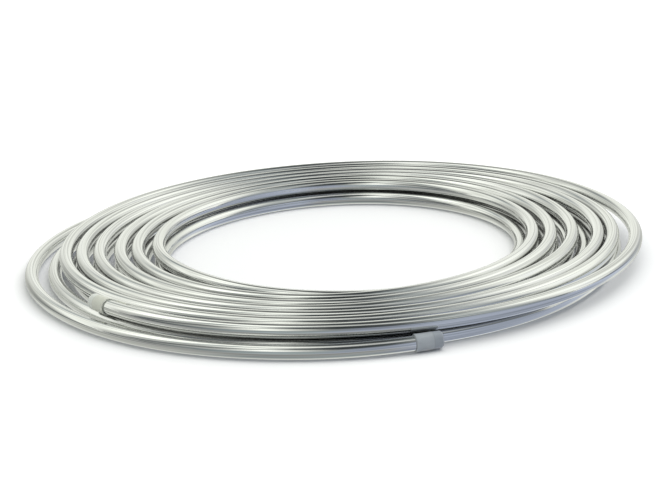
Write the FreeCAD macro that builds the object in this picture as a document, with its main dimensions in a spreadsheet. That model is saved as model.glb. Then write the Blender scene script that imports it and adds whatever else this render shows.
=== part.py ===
import FreeCAD, Part
import math
import os

import Sketcher

App = FreeCAD
V = App.Vector

# Coil of soft aluminium tube, lying flat.  One length of 3/8 inch (9.525 mm)
# tube with a 0.035 inch (0.889 mm) wall is wound as a flat coil of two layers:
# it starts at the outside of the upper layer, winds in to the eye, drops to
# the lower layer and winds out again.  Both free ends carry a push-on vinyl
# cap.  Millimetres, +Z up.  The origin is on the axis of the eye, on the
# plane that the lower layer lies on.

doc = App.newDocument("AluminiumTubeCoil")

# ---------------------------------------------------------------- dimensions
sheet = doc.addObject("Spreadsheet::Sheet", "Sizes")
SIZES = [
    ("tube_od", 9.525, "outside diameter of the tube"),
    ("tube_wall", 0.889, "wall thickness of the tube"),
    ("first_turn", 134.3, "radius of the innermost turn, to the tube's centre"),
    ("turn_pitch", 11.81, "step from one turn to the next, across the layer"),
    ("groove_inset", 2.86, "half width of a rim tube where the side groove ends"),
    ("lower_radius", 208.1, "radius of the loose outer turn of the lower layer"),
    ("lower_shift", 15.24, "how far that turn's centre is off the axis"),
    ("lower_shift_angle", -170.0, "direction of that shift, degrees from +X"),
    ("lower_from", 21.0, "angle where that turn leaves the wound layer"),
    ("lower_sweep", 261.6, "angle that it covers before its straight end"),
    ("lower_height", 5.6, "height of that turn's centre, held up by its cap"),
    ("upper_radius", 204.3, "radius of the loose outer turn of the upper layer"),
    ("upper_shift", 11.43, "how far that turn's centre is off the axis"),
    ("upper_shift_angle", -55.0, "direction of that shift, degrees from +X"),
    ("upper_from", -136.5, "angle where that turn's arc starts, after its end"),
    ("upper_sweep", 257.5, "angle that it covers before it joins the layer"),
    ("upper_height", 15.95, "height of that turn's centre, held up by its cap"),
    ("straight_end", 25.0, "straight length at each free end of the tube"),
    ("cap_length", 18.0, "length of an end cap"),
    ("cap_wall", 0.8, "wall of an end cap"),
    ("cap_end_wall", 1.6, "thickness of an end cap's closed end"),
    ("cap_round", 1.7, "rounding of an end cap's closed end"),
    ("cap_lip", 0.3, "rounding of an end cap's open rim"),
]
for row, (alias, value, words) in enumerate(SIZES, start=1):
    sheet.set("A%d" % row, words)
    sheet.set("B%d" % row, repr(value))
    sheet.setAlias("B%d" % row, alias)
doc.recompute()


def size(alias):
    return float(sheet.get(alias))


OD = size("tube_od")
R = OD / 2.0
TURNS = 6  # full turns in each wound layer


# ------------------------------------------------------------------- helpers
def plane_of(body, role):
    return [f for f in body.Origin.OriginFeatures if f.Role == role][0]


def sketch_on(body, role, name):
    sk = body.newObject("Sketcher::SketchObject", name)
    sk.AttachmentSupport = [(plane_of(body, role), "")]
    sk.MapMode = "FlatFace"
    return sk


def datum(sk, constraint, expression):
    index = sk.addConstraint(constraint)
    sk.setExpression("Constraints[%d]" % index, expression)
    return index


# ------------------------------------------------- the wound layers, turned
# The profile is two rows of tubes, one standing on the other.  Each tube
# shows as a round ridge on the end of the coil, and the rim tubes show their
# round sides in the eye and on the outside, with a groove between the layers.
wound = doc.addObject("PartDesign::Body", "WoundLayers")
prof = sketch_on(wound, "XZ_Plane", "TurnsProfile")

r_first, pitch, inset = size("first_turn"), size("turn_pitch"), size("groove_inset")
side = math.acos(inset / R)  # angle of the groove's corner below the rim tube's centre
centres = [r_first + pitch * k for k in range(TURNS)]
z_up, z_low = 1.5 * OD, 0.5 * OD
axis = V(0, 0, 1)


def arc(cx, cy, a0, a1):
    return prof.addGeometry(
        Part.ArcOfCircle(Part.Circle(V(cx, cy, 0), axis, R), a0, a1), False
    )


def line(x0, y0, x1, y1):
    return prof.addGeometry(Part.LineSegment(V(x0, y0, 0), V(x1, y1, 0)), False)


upper, lower = [], []
for k, c in enumerate(centres):
    a0, a1 = 0.0, math.pi
    if k == 0:
        a1 = math.pi + side
    if k == TURNS - 1:
        a0 = -side
    upper.append(arc(c, z_up, a0, a1))
for k, c in enumerate(centres):
    a0, a1 = math.pi, 2 * math.pi
    if k == 0:
        a0 = math.pi - side
    if k == TURNS - 1:
        a1 = 2 * math.pi + side
    lower.append(arc(c, z_low, a0, a1))
top_floor = [
    line(centres[k] + R, z_up, centres[k + 1] - R, z_up) for k in range(TURNS - 1)
]
bottom_floor = [
    line(centres[k] + R, z_low, centres[k + 1] - R, z_low) for k in range(TURNS - 1)
]
dz = R * math.sin(side)
eye_groove = line(centres[0] - inset, z_up - dz, centres[0] - inset, z_low + dz)
rim_groove = line(centres[-1] + inset, z_up - dz, centres[-1] + inset, z_low + dz)

START, END, CENTRE = 1, 2, 3
C = Sketcher.Constraint
for k in range(TURNS - 1):
    prof.addConstraint(C("Coincident", top_floor[k], START, upper[k], START))
    prof.addConstraint(C("Coincident", top_floor[k], END, upper[k + 1], END))
    prof.addConstraint(C("Coincident", bottom_floor[k], START, lower[k], END))
    prof.addConstraint(C("Coincident", bottom_floor[k], END, lower[k + 1], START))
prof.addConstraint(C("Coincident", eye_groove, START, upper[0], END))
prof.addConstraint(C("Coincident", eye_groove, END, lower[0], START))
prof.addConstraint(C("Coincident", rim_groove, START, upper[-1], START))
prof.addConstraint(C("Coincident", rim_groove, END, lower[-1], END))
datum(prof, C("Radius", upper[0], R), "Sizes.tube_od / 2")
for g in upper[1:] + lower:
    prof.addConstraint(C("Equal", upper[0], g))
for k in range(TURNS):
    for g, z, factor in ((upper[k], z_up, 1.5), (lower[k], z_low, 0.5)):
        datum(
            prof,
            C("DistanceX", -1, 1, g, CENTRE, centres[k]),
            "Sizes.first_turn + %d * Sizes.turn_pitch" % k,
        )
        datum(
            prof, C("DistanceY", -1, 1, g, CENTRE, z), "%.1f * Sizes.tube_od" % factor
        )
for k in range(TURNS - 1):
    prof.addConstraint(C("Horizontal", upper[k], START, upper[k], CENTRE))
    prof.addConstraint(C("Horizontal", upper[k + 1], END, upper[k + 1], CENTRE))
    prof.addConstraint(C("Horizontal", lower[k], END, lower[k], CENTRE))
    prof.addConstraint(C("Horizontal", lower[k + 1], START, lower[k + 1], CENTRE))
datum(
    prof, C("DistanceX", upper[0], END, upper[0], CENTRE, inset), "Sizes.groove_inset"
)
datum(
    prof,
    C("DistanceX", upper[-1], CENTRE, upper[-1], START, inset),
    "Sizes.groove_inset",
)
prof.addConstraint(C("Vertical", eye_groove))
prof.addConstraint(C("Vertical", rim_groove))
doc.recompute()

turned = wound.newObject("PartDesign::Revolution", "TurnedLayers")
turned.Profile = prof
turned.ReferenceAxis = (prof, ["V_Axis"])
turned.Angle = 360.0
wound.Tip = turned
doc.recompute()


# ------------------------------------------- the loose outer turns and ends
def loose_turn(name, layer, start_angle):
    """Arc of tube whose centre is a little off the axis of the coil."""
    ring = doc.addObject("Part::Torus", name)
    ring.setExpression("Radius1", "Sizes.%s_radius" % layer)
    ring.setExpression("Radius2", "Sizes.tube_od / 2")
    ring.setExpression("Angle3", "Sizes.%s_sweep" % layer)
    off = math.radians(size(layer + "_shift_angle"))
    shift = size(layer + "_shift")
    centre = V(shift * math.cos(off), shift * math.sin(off), size(layer + "_height"))
    ring.Placement = App.Placement(
        centre, App.Rotation(V(0, 0, 1), math.degrees(start_angle))
    )
    return ring, centre


def straight(name, radius_expr, length_expr, base, direction):
    rod = doc.addObject("Part::Cylinder", name)
    rod.setExpression("Radius", radius_expr)
    rod.setExpression("Height", length_expr)
    rod.Placement = App.Placement(base, App.Rotation(V(0, 0, 1), direction))
    return rod


low_from = math.radians(size("lower_from"))
low_turn, low_centre = loose_turn("LowerOuterTurn", "lower", low_from)
low_end = low_from + math.radians(size("lower_sweep"))
low_dir = V(-math.sin(low_end), math.cos(low_end), 0)
low_base = low_centre + V(math.cos(low_end), math.sin(low_end), 0) * size("lower_radius")

up_from = math.radians(size("upper_from"))
up_turn, up_centre = loose_turn("UpperOuterTurn", "upper", up_from)
up_dir = V(math.sin(up_from), -math.cos(up_from), 0)
up_base = up_centre + V(math.cos(up_from), math.sin(up_from), 0) * size("upper_radius")

low_stub = straight(
    "LowerEnd", "Sizes.tube_od / 2", "Sizes.straight_end", low_base, low_dir
)
up_stub = straight(
    "UpperEnd", "Sizes.tube_od / 2", "Sizes.straight_end", up_base, up_dir
)
low_bore = straight(
    "LowerBore",
    "Sizes.tube_od / 2 - Sizes.tube_wall",
    "Sizes.straight_end + 1",
    low_base,
    low_dir,
)
up_bore = straight(
    "UpperBore",
    "Sizes.tube_od / 2 - Sizes.tube_wall",
    "Sizes.straight_end + 1",
    up_base,
    up_dir,
)

whole = doc.addObject("Part::MultiFuse", "TubeWithoutBores")
whole.Shapes = [wound, low_turn, low_stub, up_turn, up_stub]
bores = doc.addObject("Part::MultiFuse", "Bores")
bores.Shapes = [low_bore, up_bore]
tube = doc.addObject("Part::Cut", "CoiledTube")
tube.Label = "coiled_tube"
tube.Base = whole
tube.Tool = bores
doc.recompute()


# ------------------------------------------------------------- the end caps
def end_cap(name, label, base, direction):
    """Vinyl cup: a turned wall, a closed end with a rounded corner."""
    body = doc.addObject("PartDesign::Body", name)
    body.Label = label
    sk = sketch_on(body, "XZ_Plane", name + "Profile")
    ri, wall = R, size("cap_wall")
    ro, length = ri + wall, size("cap_length")
    end, rnd, lip = size("cap_end_wall"), size("cap_round"), size("cap_lip")
    P = [
        (ri, 0.0),
        (ro - lip, 0.0),
        (ro, lip),
        (ro, length - rnd),
        (ro - rnd, length),
        (0.0, length),
        (0.0, length - end),
        (ri, length - end),
    ]
    g = []

    def seg(a, b):
        g.append(
            sk.addGeometry(Part.LineSegment(V(*P[a], 0), V(*P[b], 0)), False)
        )
        return g[-1]

    rim = seg(0, 1)
    lip_arc = sk.addGeometry(
        Part.ArcOfCircle(Part.Circle(V(ro - lip, lip, 0), axis, lip), -math.pi / 2, 0),
        False,
    )
    outer = seg(2, 3)
    corner = sk.addGeometry(
        Part.ArcOfCircle(
            Part.Circle(V(ro - rnd, length - rnd, 0), axis, rnd), 0, math.pi / 2
        ),
        False,
    )
    top = seg(4, 5)
    on_axis = seg(5, 6)
    floor = seg(6, 7)
    inner = seg(7, 0)
    for a, pa, b, pb in (
        (rim, END, lip_arc, START),
        (lip_arc, END, outer, START),
        (outer, END, corner, START),
        (corner, END, top, START),
        (top, END, on_axis, START),
        (on_axis, END, floor, START),
        (floor, END, inner, START),
        (inner, END, rim, START),
    ):
        sk.addConstraint(C("Coincident", a, pa, b, pb))
    for h in (rim, top, floor):
        sk.addConstraint(C("Horizontal", h))
    for v in (outer, inner):
        sk.addConstraint(C("Vertical", v))
    sk.addConstraint(C("PointOnObject", top, END, -2))
    sk.addConstraint(C("PointOnObject", on_axis, END, -2))
    sk.addConstraint(C("PointOnObject", rim, START, -1))
    datum(sk, C("DistanceX", -1, 1, rim, START, ri), "Sizes.tube_od / 2")
    datum(
        sk, C("DistanceX", -1, 1, outer, START, ro), "Sizes.tube_od / 2 + Sizes.cap_wall"
    )
    datum(sk, C("DistanceY", -1, 1, top, START, length), "Sizes.cap_length")
    datum(
        sk,
        C("DistanceY", -1, 1, floor, START, length - end),
        "Sizes.cap_length - Sizes.cap_end_wall",
    )
    datum(sk, C("Radius", corner, rnd), "Sizes.cap_round")
    datum(sk, C("Radius", lip_arc, lip), "Sizes.cap_lip")
    sk.addConstraint(C("Vertical", corner, CENTRE, corner, END))
    sk.addConstraint(C("Horizontal", corner, CENTRE, corner, START))
    sk.addConstraint(C("Vertical", lip_arc, CENTRE, lip_arc, START))
    sk.addConstraint(C("Horizontal", lip_arc, CENTRE, lip_arc, END))
    doc.recompute()
    rev = body.newObject("PartDesign::Revolution", name + "Turned")
    rev.Profile = sk
    rev.ReferenceAxis = (sk, ["V_Axis"])
    rev.Angle = 360.0
    body.Tip = rev
    # pushed on until the tube's end meets the inside of the closed end
    seat = base + direction * (size("straight_end") - (length - end))
    body.Placement = App.Placement(seat, App.Rotation(V(0, 0, 1), direction))
    return body


cap_low = end_cap("LowerCap", "end_cap_lower", low_base, low_dir)
cap_up = end_cap("UpperCap", "end_cap_upper", up_base, up_dir)
doc.recompute()

# --------------------------------------------------------- tests and writing
for obj in doc.Objects:
    bad = [s for s in obj.State if s in ("Invalid", "Error")]
    if bad:
        raise RuntimeError("%s is %s" % (obj.Name, bad))
for sk in doc.findObjects("Sketcher::SketchObject"):
    if sk.solve() != 0:
        raise RuntimeError("%s does not solve" % sk.Name)
    print(sk.Name, "fully constrained:", sk.FullyConstrained)

os.makedirs("parts", exist_ok=True)
for obj in (tube, cap_low, cap_up):
    shape = obj.Shape
    if shape.isNull() or not shape.isValid():
        raise RuntimeError("%s has no valid shape" % obj.Label)
    if len(shape.Solids) != 1:
        raise RuntimeError("%s has %d solids" % (obj.Label, len(shape.Solids)))
    box = shape.BoundBox
    print(
        "%s volume %.0f mm3, box %.1f..%.1f, %.1f..%.1f, %.2f..%.2f"
        % (
            obj.Label,
            shape.Volume,
            box.XMin,
            box.XMax,
            box.YMin,
            box.YMax,
            box.ZMin,
            box.ZMax,
        )
    )
    shape.exportStep("parts/%s.step" % obj.Label)
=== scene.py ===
import math

import bpy
import numpy as np
from mathutils import Matrix, Vector

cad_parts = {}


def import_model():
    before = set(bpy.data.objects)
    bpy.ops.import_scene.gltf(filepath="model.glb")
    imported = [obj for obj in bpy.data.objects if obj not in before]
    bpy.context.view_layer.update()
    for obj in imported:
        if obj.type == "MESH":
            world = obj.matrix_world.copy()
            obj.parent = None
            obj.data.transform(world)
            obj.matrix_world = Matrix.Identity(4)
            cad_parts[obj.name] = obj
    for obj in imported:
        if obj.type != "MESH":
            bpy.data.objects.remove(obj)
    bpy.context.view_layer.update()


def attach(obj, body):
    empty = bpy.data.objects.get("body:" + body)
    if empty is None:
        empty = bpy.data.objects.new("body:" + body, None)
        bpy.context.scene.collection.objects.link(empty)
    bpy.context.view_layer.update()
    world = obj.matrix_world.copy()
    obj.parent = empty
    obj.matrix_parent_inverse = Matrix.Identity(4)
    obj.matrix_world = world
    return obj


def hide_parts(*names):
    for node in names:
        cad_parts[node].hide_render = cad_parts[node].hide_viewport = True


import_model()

D = 0.009525            # outside diameter of the tube
R = D / 2
WALL = 0.000889
SHIFT = np.array([0.5, 0.4, 0.0]) * D   # centre of the upper layer's turns, off the axis of the eye

# ------------------------------------------------------------------ the camera
CAM_DIST, CAM_ELEV, CAM_ROLL = 135.0, 17.1, -2.635     # in tube diameters, degrees
CAM_TX, CAM_TY, CAM_F = 13.75, 4.2, 1767.0             # in pixels of a 667 x 500 image


def turned(v, ax, angle):
    ax = ax / np.linalg.norm(ax)
    return (v * math.cos(angle) + np.cross(ax, v) * math.sin(angle)
            + ax * (ax @ v) * (1 - math.cos(angle)))


def make_camera():
    e, roll = math.radians(CAM_ELEV), math.radians(CAM_ROLL)
    where = np.array([0, -CAM_DIST * math.cos(e), CAM_DIST * math.sin(e)])
    look = -where / np.linalg.norm(where)
    right = np.array([1.0, 0, 0])
    up = np.cross(right, look)
    a = math.atan2(CAM_TX, CAM_F)
    b = math.atan2(-CAM_TY, math.hypot(CAM_F, CAM_TX))
    look, right1 = turned(look, up, a), turned(right, up, a)
    look, up1 = turned(look, right1, -b), turned(up, right1, -b)
    c, s = math.cos(roll), math.sin(roll)
    r3, u3 = c * right1 + s * up1, -s * right1 + c * up1
    cam = bpy.data.cameras.new("Camera")
    cam.sensor_fit = "HORIZONTAL"
    cam.sensor_width = 36.0
    cam.lens = CAM_F / 667.0 * 36.0
    cam.clip_start, cam.clip_end = 0.05, 50.0
    ob = bpy.data.objects.new("Camera", cam)
    bpy.context.scene.collection.objects.link(ob)
    m = Matrix.Identity(4)
    for i in range(3):
        m[i][0], m[i][1], m[i][2] = r3[i], u3[i], -look[i]
        m[i][3] = (where * D + SHIFT)[i]
    ob.matrix_world = m
    bpy.context.scene.camera = ob


make_camera()

# ------------------------------------------------- the route of the one tube
# (angle in degrees, counted on from turn to turn; radius and height of the
# tube's centre in tube diameters)
UPPER = [
    (-140.3, 22.31, 1.66), (-136, 22.33, 1.66), (-120, 22.25, 1.62), (-96.6, 21.75, 1.54),
    (-50, 21.75, 1.5), (-6.6, 21.66, 1.5), (40, 21.2, 1.5), (86, 20.86, 1.5), (135, 21.15, 1.5),
    (181.7, 21.24, 1.5), (225, 20.8, 1.5), (262.9, 20.31, 1.5), (353.6, 20, 1.5),
    (445.8, 19.35, 1.5), (542.4, 20.02, 1.5), (622.4, 19.15, 1.5), (713.7, 18.91, 1.5),
    (805.6, 18.25, 1.5), (903.2, 18.7, 1.5), (981.9, 17.92, 1.5), (1074.1, 17.02, 1.5),
    (1165.4, 17.24, 1.5), (1264.3, 17.14, 1.5), (1341.3, 16.86, 1.5), (1434.4, 15.4, 1.5),
    (1525.2, 16.07, 1.5), (1625.4, 15.85, 1.5), (1700.6, 15.62, 1.5), (1794.8, 14.06, 1.5),
    (1884.8, 14.59, 1.5), (1975, 14.36, 1.5), (1992, 14.2, 1.5), (2010, 13.95, 1.44),
    (2040, 13.55, 1.16), (2070, 13.3, 0.9), (2105, 13.2, 0.64), (2140, 13.2, 0.52),
]
LOWER = [
    (2160, 13.2, 0.5), (2247, 14.17, 0.5), (2346, 14.12, 0.5), (2380, 14.55, 0.5),
    (2424, 14.62, 0.5), (2520, 14.4, 0.5), (2607, 15.3, 0.5), (2706, 15.5, 0.5),
    (2784, 15.75, 0.5), (2880, 15.55, 0.5), (2967, 16.4, 0.5), (3066, 17.15, 0.5),
    (3144, 17.1, 0.5), (3240, 16.7, 0.5), (3327, 17.5, 0.5), (3426, 18.8, 0.5), (3504, 18.5, 0.5),
    (3600, 17.85, 0.5), (3687, 18.6, 0.5), (3786, 20.45, 0.5), (3864, 19.95, 0.5), (3960, 19, 0.5),
    (4047, 19.75, 0.5), (4146, 22.1, 0.5), (4172, 22, 0.5), (4224, 21.57, 0.5), (4262, 21.06, 0.5),
    (4274, 20.75, 0.5), (4292, 20.3, 0.5), (4320, 20.15, 0.5), (4407, 21, 0.5), (4455, 22.4, 0.5),
    (4505, 23.83, 0.5), (4532, 23.6, 0.5), (4556, 23.3, 0.5), (4583.5, 22.79, 0.5),
    (4599.6, 22.55, 0.6), (4603.4, 22.47, 0.617),
]


def natural_spline(x, y, q):
    n, h = len(x), np.diff(x)
    A, b = np.zeros((n, n)), np.zeros(n)
    A[0, 0] = A[-1, -1] = 1
    for i in range(1, n - 1):
        A[i, i - 1], A[i, i], A[i, i + 1] = h[i - 1], 2 * (h[i - 1] + h[i]), h[i]
        b[i] = 6 * ((y[i + 1] - y[i]) / h[i] - (y[i] - y[i - 1]) / h[i - 1])
    m = np.linalg.solve(A, b)
    i = np.clip(np.searchsorted(x, q) - 1, 0, n - 2)
    t, g = q - x[i], h[i]
    return ((m[i] * (g - t) ** 3 + m[i + 1] * t ** 3) / (6 * g)
            + (y[i] / g - m[i] * g / 6) * (g - t) + (y[i + 1] / g - m[i + 1] * g / 6) * t)


def monotone_spline(x, y, q):
    h = np.diff(x)
    d = np.diff(y) / h
    m = np.zeros(len(x))
    for i in range(1, len(x) - 1):
        if d[i - 1] * d[i] > 0:
            w1, w2 = 2 * h[i] + h[i - 1], h[i] + 2 * h[i - 1]
            m[i] = (w1 + w2) / (w1 / d[i - 1] + w2 / d[i])
    i = np.clip(np.searchsorted(x, q) - 1, 0, len(x) - 2)
    t = (q - x[i]) / h[i]
    return ((2 * t ** 3 - 3 * t ** 2 + 1) * y[i] + (t ** 3 - 2 * t ** 2 + t) * h[i] * m[i]
            + (-2 * t ** 3 + 3 * t ** 2) * y[i + 1] + (t ** 3 - t ** 2) * h[i] * m[i + 1])


def route(step):
    pts = UPPER + LOWER
    a = np.array([p[0] for p in pts], float)
    r = np.array([p[1] for p in pts], float)
    z = np.array([p[2] for p in pts], float)
    n = int(round((a[-1] - a[0]) / step))
    q = np.linspace(a[0], a[-1], n + 1)
    th = np.radians(q)
    rq, zq = natural_spline(a, r, q), monotone_spline(a, z, q)
    return np.stack([rq * np.cos(th), rq * np.sin(th), zq], -1) * D + SHIFT


def frames(P):
    T = np.gradient(P, axis=0)
    T /= np.linalg.norm(T, axis=1)[:, None]
    N = np.cross([0, 0, 1.0], T)
    N /= np.linalg.norm(N, axis=1)[:, None]
    return T, N, np.cross(T, N)


def mesh_object(name, V, F, uv=None, smooth=True):
    me = bpy.data.meshes.new(name)
    me.from_pydata([tuple(v) for v in V], [], F)
    if uv is not None:
        layer = me.uv_layers.new(name="UVMap")
        loops = np.zeros(len(me.loops), np.int64)
        me.loops.foreach_get("vertex_index", loops)
        layer.data.foreach_set("uv", uv(loops, me).astype(np.float32).ravel())
    me.validate()
    me.polygons.foreach_set("use_smooth", [smooth] * len(me.polygons))
    me.update()
    ob = bpy.data.objects.new(name, me)
    bpy.context.scene.collection.objects.link(ob)
    return ob


def build_tube():
    """One closed mesh: the outside of the tube, its two cut ends and 14 mm of its bore at each end."""
    SIDES = 32
    P = route(2.0)
    # finer, square ends
    T, N, B = frames(P)
    n = len(P)
    ang = np.linspace(0, 2 * np.pi, SIDES, endpoint=False)
    cs, sn = np.cos(ang), np.sin(ang)

    def ring(i, r, p=None):
        p = P[i] if p is None else p
        return p + r * (cs[:, None] * N[i] + sn[:, None] * B[i])

    rings, along = [], []
    L = np.concatenate([[0], np.cumsum(np.linalg.norm(np.diff(P, axis=0), axis=1))])
    RI, CH = R - WALL, 0.00015

    def inner_depth(i, sign, depth):
        return P[i] + T[i] * sign * depth

    # start: plug of the bore, bore, cut face, outside ... then the same at the far end
    for r, dep in ((0.0012, 0.014), (RI, 0.014), (RI, 0.004), (RI, 0.0002), (RI + CH, 0.0)):
        rings.append(ring(0, r, inner_depth(0, 1, dep))); along.append(-dep)
    for r, dep in ((R - CH, 0.0), (R, CH)):
        rings.append(ring(0, r, inner_depth(0, 1, dep))); along.append(dep)
    for i in range(1, n - 1):
        rings.append(ring(i, R)); along.append(L[i])
    for r, dep in ((R, CH), (R - CH, 0.0)):
        rings.append(ring(n - 1, r, inner_depth(n - 1, -1, dep))); along.append(L[-1])
    for r, dep in ((RI + CH, 0.0), (RI, 0.0002), (RI, 0.004), (RI, 0.014), (0.0012, 0.014)):
        rings.append(ring(n - 1, r, inner_depth(n - 1, -1, dep))); along.append(L[-1] + dep)
    V = np.concatenate(rings)
    m = len(rings)
    F = []
    for i in range(m - 1):
        a, b = i * SIDES, (i + 1) * SIDES
        for j in range(SIDES):
            k = (j + 1) % SIDES
            F.append((a + j, a + k, b + k, b + j))
    F.append(tuple(reversed(range(SIDES))))
    F.append(tuple((m - 1) * SIDES + j for j in range(SIDES)))
    along = np.array(along)

    def uv(loops, me):
        u = along[loops // SIDES]
        v = (loops % SIDES) / SIDES
        # the last strip of each ring closes at v = 1
        out = np.stack([u, v], -1)
        start = np.zeros(len(me.polygons), np.int64)
        me.polygons.foreach_get("loop_start", start)
        for p, s in enumerate(start[: (m - 1) * SIDES]):
            if p % SIDES == SIDES - 1:
                out[s + 1, 1] = out[s + 2, 1] = 1.0
        return out

    ob = mesh_object("aluminum_tube", V, F, uv)
    return ob, P, T, N, B


tube, P, T, N, B = build_tube()


def build_cap(name, end, out, n1, b1, inserted):
    """Push-on vinyl cap: rolled rim, thin wall, rounded closed end; a closed shell turned about the tube's end."""
    SIDES = 40
    wall = 0.00078
    length = 0.0180
    ri = R + 0.00003
    ro = R + wall
    rnd = 0.0017
    base = inserted - length        # closed end's outside is at s = 0 from here
    prof = []                        # (s along the tube, radius), from the rim outwards and round to the inside
    prof += [(0.0, ri + 0.00012), (0.0, ri + 0.0003), (0.00008, ro + 0.00006), (0.0003, ro + 0.00016),
             (0.0008, ro + 0.00018), (0.0015, ro + 0.00006), (0.0024, ro), (0.0060, ro - 0.00002),
             (0.0105, ro), (inserted - 0.0004, ro), (inserted + 0.0008, ro - 0.00010), (length - rnd, ro - 0.00012)]
    for k in range(1, 8):
        a = k / 8 * math.pi / 2
        prof.append((length - rnd + rnd * math.sin(a), ro - 0.00012 - rnd + rnd * math.cos(a)))
    prof += [(length, ro - 0.00012 - rnd), (length - 0.00006, 0.0012)]
    tip = (length - 0.00012, 0.0)
    inner = [(length - 0.0013, 0.0012), (length - 0.0013, ri - 0.0022), (length - 0.0017, ri - 0.0009),
             (length - 0.0026, ri - 0.0001), (inserted + 0.0006, ri - 0.00002), (inserted - 0.0002, ri), (0.0004, ri)]
    ang = np.linspace(0, 2 * np.pi, SIDES, endpoint=False)
    start = end - out * inserted

    def at(s, r):
        wob = 1 + 0.006 * np.sin(3 * ang + 40 * s)
        return start + out * s + (r * wob)[:, None] * (np.cos(ang)[:, None] * n1 + np.sin(ang)[:, None] * b1)

    V, F = [], []
    outer_rings = [at(s, r) for s, r in prof]
    inner_rings = [at(s, r) for s, r in inner]
    rings = outer_rings
    V = np.concatenate(rings + [np.array([start + out * tip[0]])] + inner_rings
                       + [np.array([start + out * (length - 0.0013)])])
    no = len(outer_rings)
    tip_i = no * SIDES
    base_in = tip_i + 1
    ni = len(inner_rings)
    tip_j = base_in + ni * SIDES
    for i in range(no - 1):
        for j in range(SIDES):
            k = (j + 1) % SIDES
            F.append((i * SIDES + j, i * SIDES + k, (i + 1) * SIDES + k, (i + 1) * SIDES + j))
    for j in range(SIDES):
        k = (j + 1) % SIDES
        F.append(((no - 1) * SIDES + j, (no - 1) * SIDES + k, tip_i))
        F.append((base_in + k, base_in + j, tip_j))
        for i in range(ni - 1):
            a, b = base_in + i * SIDES, base_in + (i + 1) * SIDES
            F.append((a + j, a + k, b + k, b + j))
        a = base_in + (ni - 1) * SIDES
        F.append((a + j, a + k, k, j))
    along = np.concatenate([np.repeat([s for s, r in prof], SIDES), [tip[0]],
                            np.repeat([s for s, r in inner], SIDES), [length - 0.0013]]) / inserted

    def uv(loops, me):
        return np.stack([along[loops] * 0.5, np.zeros(len(loops))], -1)

    ob = mesh_object(name, V, F, uv)
    bm_fix(ob)
    return ob


def bm_fix(ob):
    import bmesh
    bm = bmesh.new()
    bm.from_mesh(ob.data)
    bmesh.ops.recalc_face_normals(bm, faces=bm.faces[:])
    bm.to_mesh(ob.data)
    bm.free()
    ob.data.update()


bm_fix(tube)
cap_up = build_cap("vinyl_cap_upper", P[0], -T[0], N[0], B[0], 0.0118)
cap_low = build_cap("vinyl_cap_lower", P[-1], T[-1], N[-1], B[-1], 0.0116)


# ---------------------------------------------------------------- materials
def new_material(name):
    m = bpy.data.materials.new(name)
    m.use_nodes = True
    nt = m.node_tree
    nt.nodes.clear()
    out = nt.nodes.new("ShaderNodeOutputMaterial")
    bsdf = nt.nodes.new("ShaderNodeBsdfPrincipled")
    nt.links.new(bsdf.outputs[0], out.inputs[0])
    return m, nt, bsdf


def node(nt, kind, **kw):
    n = nt.nodes.new(kind)
    for k, v in kw.items():
        setattr(n, k, v)
    return n


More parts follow.
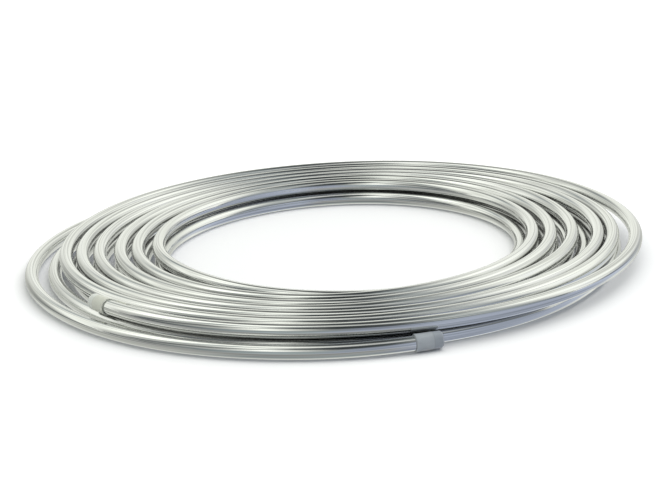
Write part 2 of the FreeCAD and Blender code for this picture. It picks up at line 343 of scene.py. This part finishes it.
def aluminium():
    m, nt, bsdf = new_material("drawn_aluminum")
    L = nt.links.new
    bsdf.inputs["Metallic"].default_value = 1.0
    uvn = node(nt, "ShaderNodeTexCoord")

    def streaks(scale_u, scale_v, detail, rough=0.6):
        mp = node(nt, "ShaderNodeMapping")
        mp.inputs["Scale"].default_value = (scale_u, scale_v, 1)
        L(uvn.outputs["UV"], mp.inputs["Vector"])
        nz = node(nt, "ShaderNodeTexNoise")
        nz.inputs["Scale"].default_value = 1.0
        nz.inputs["Detail"].default_value = detail
        nz.inputs["Roughness"].default_value = rough
        L(mp.outputs[0], nz.inputs["Vector"])
        return nz.outputs["Fac"]

    def ramp(fac, p0, c0, p1, c1):
        r = node(nt, "ShaderNodeMapRange")
        r.inputs["From Min"].default_value, r.inputs["From Max"].default_value = p0, p1
        r.inputs["To Min"].default_value, r.inputs["To Max"].default_value = c0, c1
        L(fac, r.inputs["Value"])
        return r.outputs[0]

    fine = streaks(9.0, 90.0, 3.0)       # drawing lines along the tube
    broad = streaks(3.0, 9.0, 2.0)       # slow changes of polish round the tube
    cloud = node(nt, "ShaderNodeTexNoise")
    cloud.inputs["Scale"].default_value = 60.0
    cloud.inputs["Detail"].default_value = 4.0
    L(uvn.outputs["Object"], cloud.inputs["Vector"])
    # roughness
    add = node(nt, "ShaderNodeMath", operation="ADD")
    L(ramp(fine, 0.3, 0.0, 0.7, 0.04), add.inputs[0])
    L(ramp(broad, 0.3, 0.02, 0.7, 0.06), add.inputs[1])
    add2 = node(nt, "ShaderNodeMath", operation="ADD")
    L(add.outputs[0], add2.inputs[0])
    L(ramp(cloud.outputs["Fac"], 0.35, 0.0, 0.7, 0.05), add2.inputs[1])
    L(add2.outputs[0], bsdf.inputs["Roughness"])
    # colour
    mix = node(nt, "ShaderNodeMix", data_type="RGBA")
    mix.inputs["A"].default_value = (0.86, 0.87, 0.845, 1)
    mix.inputs["B"].default_value = (0.93, 0.935, 0.93, 1)
    L(ramp(broad, 0.3, 0.0, 0.7, 1.0), mix.inputs["Factor"])
    # painted shade: the base colour is darkened (ambient occlusion) where neighbouring turns come close, in place of
    # the light lost in the grooves between them
    ao = node(nt, "ShaderNodeAmbientOcclusion", samples=12, only_local=True)
    ao.inputs["Distance"].default_value = 0.006
    painted_shade_mask = node(nt, "ShaderNodeMapRange", interpolation_type="SMOOTHSTEP")
    painted_shade_mask.inputs["From Min"].default_value, painted_shade_mask.inputs["From Max"].default_value = 0.25, 1.0
    painted_shade_mask.inputs["To Min"].default_value, painted_shade_mask.inputs["To Max"].default_value = 0.55, 1.0
    L(ao.outputs["AO"], painted_shade_mask.inputs["Value"])
    # painted shade: the base colour is multiplied by the darkening between close turns
    painted_groove_shade = node(nt, "ShaderNodeMix", data_type="RGBA", blend_type="MULTIPLY")
    painted_groove_shade.inputs["Factor"].default_value = 1.0
    # darker drawing lines that run along the tube
    lines = streaks(4.0, 24.0, 3.0, 0.55)
    line = node(nt, "ShaderNodeMix", data_type="RGBA", blend_type="MULTIPLY")
    line.inputs["Factor"].default_value = 1.0
    L(mix.outputs["Result"], line.inputs["A"])
    L(ramp(lines, 0.34, 0.62, 0.52, 1.0), line.inputs["B"])
    L(line.outputs["Result"], painted_groove_shade.inputs["A"])
    L(painted_shade_mask.outputs[0], painted_groove_shade.inputs["B"])
    L(painted_groove_shade.outputs["Result"], bsdf.inputs["Base Color"])
    # bump: fine lines along the tube
    bump = node(nt, "ShaderNodeBump")
    bump.inputs["Strength"].default_value = 0.10
    bump.inputs["Distance"].default_value = 0.00012
    L(fine, bump.inputs["Height"])
    bump2 = node(nt, "ShaderNodeBump")
    bump2.inputs["Strength"].default_value = 0.35
    bump2.inputs["Distance"].default_value = 0.00025
    L(lines, bump2.inputs["Height"])
    L(bump.outputs[0], bump2.inputs["Normal"])
    L(bump2.outputs[0], bsdf.inputs["Normal"])
    return m


def vinyl(name, over_tube, empty):
    """Milky vinyl with painted shade: one painted tone where the tube shows through the translucent cap, another over
    its empty end (UV x = 0.5 at the tube's end).
    """
    m, nt, bsdf = new_material(name)
    L = nt.links.new
    tc = node(nt, "ShaderNodeTexCoord")
    nz = node(nt, "ShaderNodeTexNoise")
    nz.inputs["Scale"].default_value = 160.0
    nz.inputs["Detail"].default_value = 3.0
    L(tc.outputs["Object"], nz.inputs["Vector"])
    sep = node(nt, "ShaderNodeSeparateXYZ")
    L(tc.outputs["UV"], sep.inputs[0])
    edge = node(nt, "ShaderNodeMapRange", interpolation_type="SMOOTHSTEP")
    edge.inputs["From Min"].default_value, edge.inputs["From Max"].default_value = 0.485, 0.515
    L(sep.outputs[0], edge.inputs["Value"])
    # painted shade: the tone over the tube inside the cap against the tone over the empty end
    mix = node(nt, "ShaderNodeMix", data_type="RGBA")
    mix.inputs["A"].default_value = over_tube
    mix.inputs["B"].default_value = empty
    L(edge.outputs[0], mix.inputs["Factor"])
    # cloudy mottling, and a painted shade: a faint darker ring over the tube's cut end inside the cap
    dirt = node(nt, "ShaderNodeMapRange")
    dirt.inputs["From Min"].default_value, dirt.inputs["From Max"].default_value = 0.3, 0.7
    dirt.inputs["To Min"].default_value, dirt.inputs["To Max"].default_value = 0.93, 1.04
    L(nz.outputs["Fac"], dirt.inputs["Value"])
    ring = node(nt, "ShaderNodeMath", operation="SUBTRACT")
    L(sep.outputs[0], ring.inputs[0])
    ring.inputs[1].default_value = 0.5
    ring_abs = node(nt, "ShaderNodeMath", operation="ABSOLUTE")
    L(ring.outputs[0], ring_abs.inputs[0])
    ring_shade = node(nt, "ShaderNodeMapRange", interpolation_type="SMOOTHSTEP")
    ring_shade.inputs["From Min"].default_value, ring_shade.inputs["From Max"].default_value = 0.0, 0.03
    ring_shade.inputs["To Min"].default_value, ring_shade.inputs["To Max"].default_value = 0.86, 1.0
    L(ring_abs.outputs[0], ring_shade.inputs["Value"])
    tone = node(nt, "ShaderNodeMath", operation="MULTIPLY")
    L(dirt.outputs[0], tone.inputs[0])
    L(ring_shade.outputs[0], tone.inputs[1])
    shade = node(nt, "ShaderNodeMix", data_type="RGBA", blend_type="MULTIPLY")
    shade.inputs["Factor"].default_value = 1.0
    L(mix.outputs["Result"], shade.inputs["A"])
    L(tone.outputs[0], shade.inputs["B"])
    L(shade.outputs["Result"], bsdf.inputs["Base Color"])
    mr = node(nt, "ShaderNodeMapRange")
    mr.inputs["To Min"].default_value, mr.inputs["To Max"].default_value = 0.28, 0.42
    L(nz.outputs["Fac"], mr.inputs["Value"])
    L(mr.outputs[0], bsdf.inputs["Roughness"])
    bsdf.inputs["IOR"].default_value = 1.46
    bsdf.inputs["Transmission Weight"].default_value = 0.15
    bump = node(nt, "ShaderNodeBump")
    bump.inputs["Strength"].default_value = 0.12
    bump.inputs["Distance"].default_value = 0.0002
    L(nz.outputs["Fac"], bump.inputs["Height"])
    L(bump.outputs[0], bsdf.inputs["Normal"])
    return m


alu = aluminium()
tube.data.materials.append(alu)
# painted light and shade: the same milky vinyl as a lighter copy for the upper cap and a darker, bluer copy for the
# lower cap, for how each cap is lit
cap_up.data.materials.append(vinyl("milky_vinyl_upper_painted_light", (0.74, 0.75, 0.66, 1), (0.80, 0.82, 0.77, 1)))
cap_low.data.materials.append(vinyl("milky_vinyl_lower_painted_shade", (0.40, 0.43, 0.46, 1), (0.33, 0.36, 0.40, 1)))

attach(tube, "root")
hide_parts("coiled_tube")
for c, cad in ((cap_up, "end_cap_upper"), (cap_low, "end_cap_lower")):
    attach(c, "root")
    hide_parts(cad)

# ------------------------------------------------------------ floor and light
def floor():
    s = 4.0
    V = [(-s, -s, -0.0002), (s, -s, -0.0002), (s, s, -0.0002), (-s, s, -0.0002)]
    ob = mesh_object("floor", V, [(0, 1, 2, 3)], smooth=False)
    m, nt, bsdf = new_material("floor_white")
    bsdf.inputs["Base Color"].default_value = (0.94, 0.94, 0.95, 1)
    bsdf.inputs["Roughness"].default_value = 0.6
    bsdf.inputs["Specular IOR Level"].default_value = 0.2
    # painted light: the white sweep glows a little, rising away from the coil, which lifts the coil's shadow further
    # out
    tc = node(nt, "ShaderNodeTexCoord")
    ln = node(nt, "ShaderNodeVectorMath", operation="LENGTH")
    nt.links.new(tc.outputs["Object"], ln.inputs[0])
    mr = node(nt, "ShaderNodeMapRange", interpolation_type="SMOOTHSTEP")
    mr.inputs["From Min"].default_value, mr.inputs["From Max"].default_value = 0.205, 0.31
    mr.inputs["To Min"].default_value, mr.inputs["To Max"].default_value = 0.0, 0.5
    nt.links.new(ln.outputs["Value"], mr.inputs["Value"])
    bsdf.inputs["Emission Color"].default_value = (1, 1, 1, 1)
    nt.links.new(mr.outputs[0], bsdf.inputs["Emission Strength"])
    ob.data.materials.append(m)
    ob.visible_glossy = False     # the metal mirrors the studio itself, down to the table's soft shade


floor()


# The studio, as soft bands of light. Each band belongs to directions with the same lean to the left (-1) or
# right (+1); in a band the angle runs from the backdrop (0) over the ceiling (90) to the camera's side (180).
TINTS = {"w": (1.0, 1.02, 0.95), "n": (1.0, 1.02, 1.0), "g": (0.90, 1.03, 1.06), "b": (0.86, 0.95, 1.16)}
BANDS = [
    (-0.95, [(-150, .4, "n"), (-60, .5, "w"), (-25, .6, "w"), (-8, .15, "g"), (4, .10, "g"), (20, .5, "w"), (38, 1.0, "w"),
             (60, .9, "w"), (85, .5, "w"), (110, .6, "w"), (124, .15, "g"), (140, .10, "g"), (155, .4, "w"), (175, .10, "g")]),
    (-0.60, [(-150, .4, "n"), (-60, .5, "w"), (-30, .7, "w"), (-8, .35, "w"), (8, .5, "w"), (30, .8, "w"), (45, 1.0, "w"),
             (58, .85, "w"), (72, 1.4, "w"), (86, 1.3, "w"), (96, .25, "g"), (112, .5, "w"), (124, .10, "g"), (140, .3, "n"),
             (152, .6, "w"), (168, .3, "g"), (190, .35, "g")]),
    (-0.36, [(-150, .35, "n"), (-100, .25, "g"), (-60, .5, "w"), (-35, .8, "w"), (-15, .55, "w"), (3, .92, "w"), (20, .75, "w"),
             (34, .32, "g"), (46, .8, "w"), (60, 1.3, "w"), (80, 1.3, "w"), (92, .30, "g"), (103, 1.0, "w"), (114, 1.5, "w"),
             (122, .15, "g"), (131, .8, "w"), (142, 1.6, "w"), (154, 1.0, "w"), (163, .35, "g"), (190, .48, "g")]),
    (-0.18, [(-150, .35, "n"), (-100, .25, "g"), (-60, .6, "w"), (-38, .85, "w"), (-15, .55, "w"), (3, .95, "w"), (24, .9, "w"),
             (36, .3, "w"), (48, .06, "g"), (66, .35, "w"), (80, 1.3, "w"), (95, 1.4, "w"), (104, .2, "g"), (116, .05, "g"),
             (128, .08, "g"), (141, .8, "w"), (152, .6, "w"), (163, .32, "g"), (190, .42, "g")]),
    (-0.04, [(-150, .35, "n"), (-100, .28, "g"), (-60, .7, "w"), (-38, .95, "w"), (-15, .6, "w"), (3, .92, "w"), (27, .85, "w"),
             (39, .4, "n"), (50, .06, "g"), (76, .06, "g"), (86, .45, "n"), (94, 1.3, "w"), (102, .5, "n"), (110, .05, "g"),
             (136, .05, "g"), (150, .30, "n"), (162, .34, "g"), (190, .40, "b")]),
    (0.10, [(-150, .35, "n"), (-100, .28, "g"), (-60, .7, "w"), (-38, 1.0, "w"), (-15, .6, "w"), (3, .92, "w"), (27, .85, "w"),
            (41, .4, "n"), (52, .06, "g"), (86, .06, "g"), (94, .35, "n"), (100, .9, "n"), (106, .4, "n"), (113, .06, "g"),
            (140, .06, "g"), (152, .30, "b"), (164, .34, "b"), (190, .40, "b")]),
    (0.25, [(-150, .35, "n"), (-100, .25, "b"), (-60, .65, "b"), (-38, .95, "w"), (-15, .5, "w"), (3, .92, "w"), (29, .85, "w"),
            (44, .8, "w"), (60, .5, "n"), (72, .28, "g"), (92, .22, "g"), (101, .85, "n"), (111, .4, "n"), (120, .10, "g"),
            (142, .07, "g"), (154, .32, "b"), (170, .34, "b"), (190, .40, "b")]),
    (0.50, [(-150, .5, "b"), (-100, .3, "b"), (-60, .5, "b"), (-38, .9, "w"), (-15, .6, "w"), (3, .55, "n"), (28, .95, "w"),
            (44, 1.1, "w"), (62, 1.3, "w"), (78, 1.0, "w"), (90, .6, "n"), (112, .35, "g"), (126, .6, "n"), (138, .15, "g"),
            (152, .5, "b"), (175, .45, "b"), (195, .4, "b")]),
    (0.90, [(-150, .4, "b"), (-60, .5, "b"), (-15, .6, "b"), (2, .25, "b"), (18, .7, "n"), (34, 1.0, "w"), (60, .9, "n"),
            (84, 1.0, "w"), (104, .6, "n"), (124, .2, "g"), (145, .4, "b"), (175, .45, "b")]),
]
WORLD_STRENGTH = 1.0


def world():
    w = bpy.data.worlds.new("studio")
    bpy.context.scene.world = w
    w.use_nodes = True
    nt = w.node_tree
    nt.nodes.clear()
    L = nt.links.new
    out = nt.nodes.new("ShaderNodeOutputWorld")
    bg = nt.nodes.new("ShaderNodeBackground")
    L(bg.outputs[0], out.inputs[0])
    tc = nt.nodes.new("ShaderNodeTexCoord")
    sep = nt.nodes.new("ShaderNodeSeparateXYZ")
    L(tc.outputs["Generated"], sep.inputs[0])

    def math_node(op, a, b=None, c=None):
        n = nt.nodes.new("ShaderNodeMath")
        n.operation = op
        for i, v in enumerate((a, b, c)):
            if v is None:
                continue
            if isinstance(v, (int, float)):
                n.inputs[i].default_value = v
            else:
                L(v, n.inputs[i])
        return n.outputs[0]

    def slope(value, v0, v1):
        """0 at v0, 1 at v1, clamped."""
        s = 1.0 / (v1 - v0)
        r = math_node("MULTIPLY_ADD", value, s, -v0 * s)
        r.node.use_clamp = True
        return r

    X, Y, Z = sep.outputs
    turn = math_node("ARCTAN2", Z, Y)
    turn = math_node("FRACT", math_node("MULTIPLY_ADD", turn, 1 / (2 * math.pi), 1.0 + 165 / 360))
    total = None
    leans = [b[0] for b in BANDS]
    for i, (lean, stops) in enumerate(BANDS):
        weight = None
        if i > 0:
            weight = slope(X, leans[i - 1], lean)
        if i < len(BANDS) - 1:
            down = slope(X, leans[i + 1], lean)
            weight = down if weight is None else math_node("MULTIPLY", weight, down)
        cr = nt.nodes.new("ShaderNodeValToRGB")
        cr.color_ramp.interpolation = "LINEAR"
        e = cr.color_ramp.elements
        while len(e) > 1:
            e.remove(e[-1])
        for k, (deg, level, tint) in enumerate(stops):
            col = tuple(level * c for c in TINTS[tint]) + (1,)
            pos = (deg + 165) / 360
            if k == 0:
                e[0].position, e[0].color = pos, col
            else:
                e.new(pos).color = col
        L(turn, cr.inputs[0])
        part = nt.nodes.new("ShaderNodeVectorMath")
        part.operation = "SCALE"
        L(cr.outputs[0], part.inputs[0])
        L(weight, part.inputs["Scale"])
        if total is None:
            total = part.outputs[0]
        else:
            n = nt.nodes.new("ShaderNodeVectorMath")
            n.operation = "ADD"
            L(total, n.inputs[0])
            L(part.outputs[0], n.inputs[1])
            total = n.outputs[0]
    L(total, bg.inputs["Color"])
    bg.inputs["Strength"].default_value = WORLD_STRENGTH


world()


def area(name, where, aim, size, power, colour=(1, 1, 1), glossy=True, size_y=None):
    li = bpy.data.lights.new(name, "AREA")
    li.shape = "RECTANGLE"
    li.size, li.size_y = size, size_y or size
    li.energy, li.color = power, colour
    ob = bpy.data.objects.new(name, li)
    bpy.context.scene.collection.objects.link(ob)
    ob.location = where
    ob.rotation_euler = (Vector(aim) - Vector(where)).to_track_quat("-Z", "Y").to_euler()
    ob.visible_glossy = glossy
    ob.visible_camera = False
    return ob


area("overhead_fill", (0.9, 0.3, 2.1), (0, 0, 0), 3.0, 46.0, glossy=False)

bpy.context.scene.view_settings.view_transform = "Standard"
bpy.context.scene.view_settings.look = "None"
